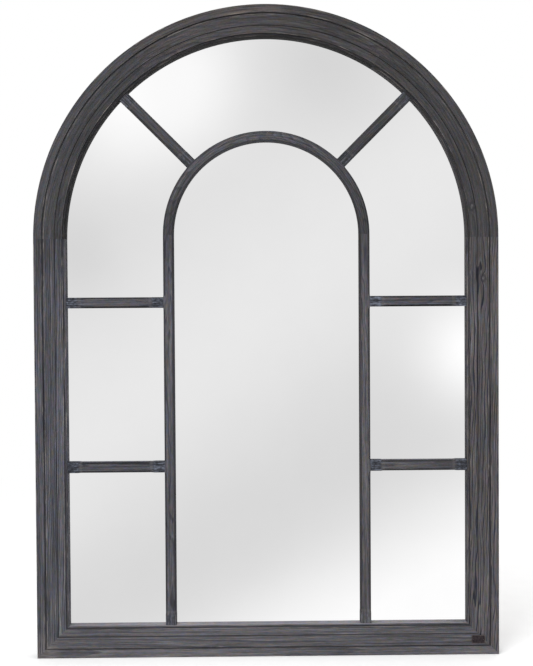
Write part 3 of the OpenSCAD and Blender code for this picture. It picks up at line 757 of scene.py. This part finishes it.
def bronze_material():
    """Bare bronze plate: purple-brown patina, rubbed bright on the rim and the pin heads."""
    material, net = new_material("bronze_plate")
    place = net.place()
    cloud = net.cloud(place, 0.22, 4.0, 0.6)
    brush = net.cloud(place, (0.25, 3.0, 3.0), 3.0, 0.6)
    color = net.tones(cloud, 0.35, 0.65, *BRONZE)
    color = net.glaze(color, brush, 0.45, 0.7, 0.3, BRONZE_LINE)
    raised = net.step(net.parts(place)[Y], *PLATE_RAISED)
    color = net.mix(net.mul(raised, net.step(cloud, 0.3, 0.6, 0.25, 0.75)), color, BRONZE_BRIGHT)
    rough = net.add(net.mul(brush, 0.2), net.add(net.mul(cloud, 0.15), 0.28))
    net.surface(color, rough, net.bump(brush, 0.00005, 0.6), metal=1.0)
    return material


def beech_material():
    """Beech with short dark flecks."""
    material, net = new_material("beech_dowel")
    place = net.place()
    grain = net.cloud(place, 0.9, 3.0, 0.6)
    fleck = net.cloud(place, 3.0, 3.0, 0.6)
    color = net.tones(grain, 0.35, 0.65, *BEECH)
    color = net.glaze(color, fleck, 0.6, 0.75, 0.4, BEECH_FLECK)
    rough = net.add(net.mul(grain, 0.15), 0.55)
    net.surface(color, rough, net.bump(fleck, 0.0001, 0.5), level=0.35)
    return material


FITTINGS = (
    (zinc_material("zinc_plate", 0.0),
     ("board_screws", "hanger_screws", "left_hanger_strap", "right_hanger_strap")),
    (zinc_material("zinc_wire", 3.0), ("left_hanger_ring", "right_hanger_ring")),
    (beech_material(), ("frame_dowels", "bar_dowels")),
    (bronze_material(), ("badge_plate", "badge_pins")),
    (mirror_material(), ("mirror_glass",)),
    (card_material(), ("backing_sheet",)),
    (board_material(), ("backing_board",)),
    (rubber_material(), ("wall_pads",)),
)
for finish, node_names in FITTINGS:
    for node_name in node_names:
        dress(node_name, finish)


# Floor, room and lamps

WHITE = (1.0, 1.0, 1.0)
FLOOR_SIZE = 120.0
# The floor lies just under the frame's foot
FLOOR_Z = -0.0005
FLOOR_TONES = ((0.8, 0.8, 0.8), (0.84, 0.84, 0.84))
# A little light of its own near the mirror, and the distances in mm over which it turns white
FLOOR_LIFT = 0.05
FLOOR_FADE = (700.0, 2600.0)


def floor_material():
    """Pale floor: it keeps a soft shadow near the mirror and fades to white further off."""
    material, net = new_material("pale_floor")
    place = net.place()
    away = net.vec("LENGTH", net.vec("MULTIPLY", place, (1.0, 1.0, 0.0)))
    color = net.mix(net.cloud(place, 0.02, 3.0, 0.5), *FLOOR_TONES)
    diffuse = net.node("ShaderNodeBsdfDiffuse", Color=color)
    white = net.node("ShaderNodeEmission", Color=WHITE, Strength=1.0)
    lift = net.node("ShaderNodeEmission", Color=WHITE, Strength=FLOOR_LIFT)
    near = net.node("ShaderNodeAddShader", diffuse.outputs[0], lift.outputs[0])
    fade = net.step(away, *FLOOR_FADE)
    shown = net.node("ShaderNodeMixShader", fade, near.outputs[0], white.outputs[0])
    direct = net.node("ShaderNodeLightPath").outputs["Is Camera Ray"]
    both = net.node("ShaderNodeMixShader", direct, diffuse.outputs[0], shown.outputs[0])
    net.node("ShaderNodeOutputMaterial", both.outputs[0])
    return material


bpy.ops.mesh.primitive_plane_add(size=FLOOR_SIZE, location=(0.0, 0.0, FLOOR_Z))
floor = bpy.context.object
floor.name = "floor"
floor.data.materials.append(floor_material())
floor.visible_glossy = False


# The mirror sees bands of light that fan out round one line, the pole
POLE = (-1.91, -1.0, -1.354)
# Angle round the pole in degrees, and level
FAN = ((-16.0, 0.82), (-13.2, 0.81), (-11.0, 0.79), (-8.5, 0.785), (-5.0, 0.824), (0.0, 0.884),
       (4.5, 0.818), (8.0, 0.749), (11.0, 0.73), (13.5, 0.765), (16.0, 0.915), (18.5, 1.05),
       (21.0, 1.1))
# Soft round lights among the bands: direction, reach in degrees, level
SPOTS = (((0.213, -0.976, -0.037), 4.3, 1.1), ((-0.117, -0.97, 0.211), 5.5, 1.06),
         ((-0.074, -0.972, 0.221), 4.5, 1.02), ((0.072, -0.969, 0.238), 4.5, 0.72),
         ((-0.175, -0.983, 0.061), 3.5, 0.72))
# A smooth ramp's levels end at 1, so they are kept as shares of this one
BRIGHTEST = 1.05
# Light on everything else by the height that it comes from, 0 for below and 1 for above
AMBIENT = ((0.0, 0.05), (0.4, 0.12), (0.56, 0.54), (1.0, 0.82))


def room():
    """White to the camera, bands and round lights to shiny surfaces, soft light to the rest."""
    world = bpy.data.worlds.new("room")
    bpy.context.scene.world = world
    net = Net(world)
    way = net.node("ShaderNodeTexCoord").outputs["Generated"]

    pole = Vector(POLE).normalized()
    first = pole.cross(Vector((0.0, 1.0, 0.0))).normalized()
    second = pole.cross(first)
    turn = net.math("ARCTAN2", net.dot(way, first), net.dot(way, second))
    low, high = FAN[0][0], FAN[-1][0]
    share = net.div(net.sub(turn, math.radians(low)), math.radians(high - low))
    stops = [((angle - low) / (high - low), level / BRIGHTEST) for angle, level in FAN]
    seen = net.grey(net.mul(net.ramp(share, stops, "B_SPLINE"), BRIGHTEST))
    for direction, reach, level in SPOTS:
        near = net.dot(way, Vector(direction).normalized())
        fall = 2.0 / (1.0 - math.cos(math.radians(reach)))
        spot = net.math("EXPONENT", net.mul(net.sub(near, 1.0), fall))
        seen = net.mix(spot, seen, (level, level, level))

    height = net.add(net.mul(net.parts(way)[Z], 0.5), 0.5)
    path = net.node("ShaderNodeLightPath")
    color = net.mix(path.outputs["Is Glossy Ray"], net.ramp(height, AMBIENT, "EASE"), seen)
    color = net.mix(path.outputs["Is Camera Ray"], color, WHITE)
    back = net.node("ShaderNodeBackground", Color=color, Strength=1.0)
    net.node("ShaderNodeOutputWorld", back.outputs[0])


room()

# Name, place and aim in m, width and height in m, power in W
LAMPS = (
    ("key", (-1.6, -2.8, 3.2), (0.0, 0.0, 0.75), (2.0, 1.4), 76.0),
    ("top", (0.2, -0.3, 3.6), (0.0, 0.0, 0.8), (2.4, 1.2), 39.0),
    ("fill", (1.2, 3.0, 2.6), (0.0, 0.0, 0.8), (2.2, 1.6), 46.0),
)


def lamp(name, place, aim, size, power):
    """An area light that the mirror doesn't see."""
    data = bpy.data.lights.new(name, "AREA")
    data.shape = "RECTANGLE"
    data.size, data.size_y = size
    data.energy = power
    # The fill stands behind the mirror, whose shadow would fall forwards
    data.use_shadow = name != "fill"
    made = bpy.data.objects.new(name, data)
    bpy.context.scene.collection.objects.link(made)
    made.location = place
    made.rotation_mode = "QUATERNION"
    made.rotation_quaternion = (Vector(aim) - Vector(place)).to_track_quat("-Z", "Y")
    made.visible_glossy = False


for row in LAMPS:
    lamp(*row)

# Camera

# Place in m and turn in degrees, fitted to the outline and the sight edges in the photo
CAMERA_PLACE = (-0.0252, -2.216, 0.7442)
CAMERA_TURN = (88.8494, 0.353, -0.6393)
# The photo's pixels, and the sensor's long side in mm
FOCAL_PIXELS = 1023.2
LONG_SIDE_PIXELS = 666.0
SENSOR = 36.0

camera_data = bpy.data.cameras.new("camera")
camera = bpy.data.objects.new("camera", camera_data)
bpy.context.scene.collection.objects.link(camera)
camera_data.sensor_width = SENSOR
camera_data.lens = FOCAL_PIXELS / LONG_SIDE_PIXELS * SENSOR
camera_data.clip_start = 0.05
camera_data.clip_end = 200.0
turn = Euler([math.radians(angle) for angle in CAMERA_TURN])
camera.matrix_world = Matrix.Translation(CAMERA_PLACE) @ turn.to_matrix().to_4x4()
bpy.context.scene.camera = camera
bpy.context.scene.view_settings.view_transform = "Standard"
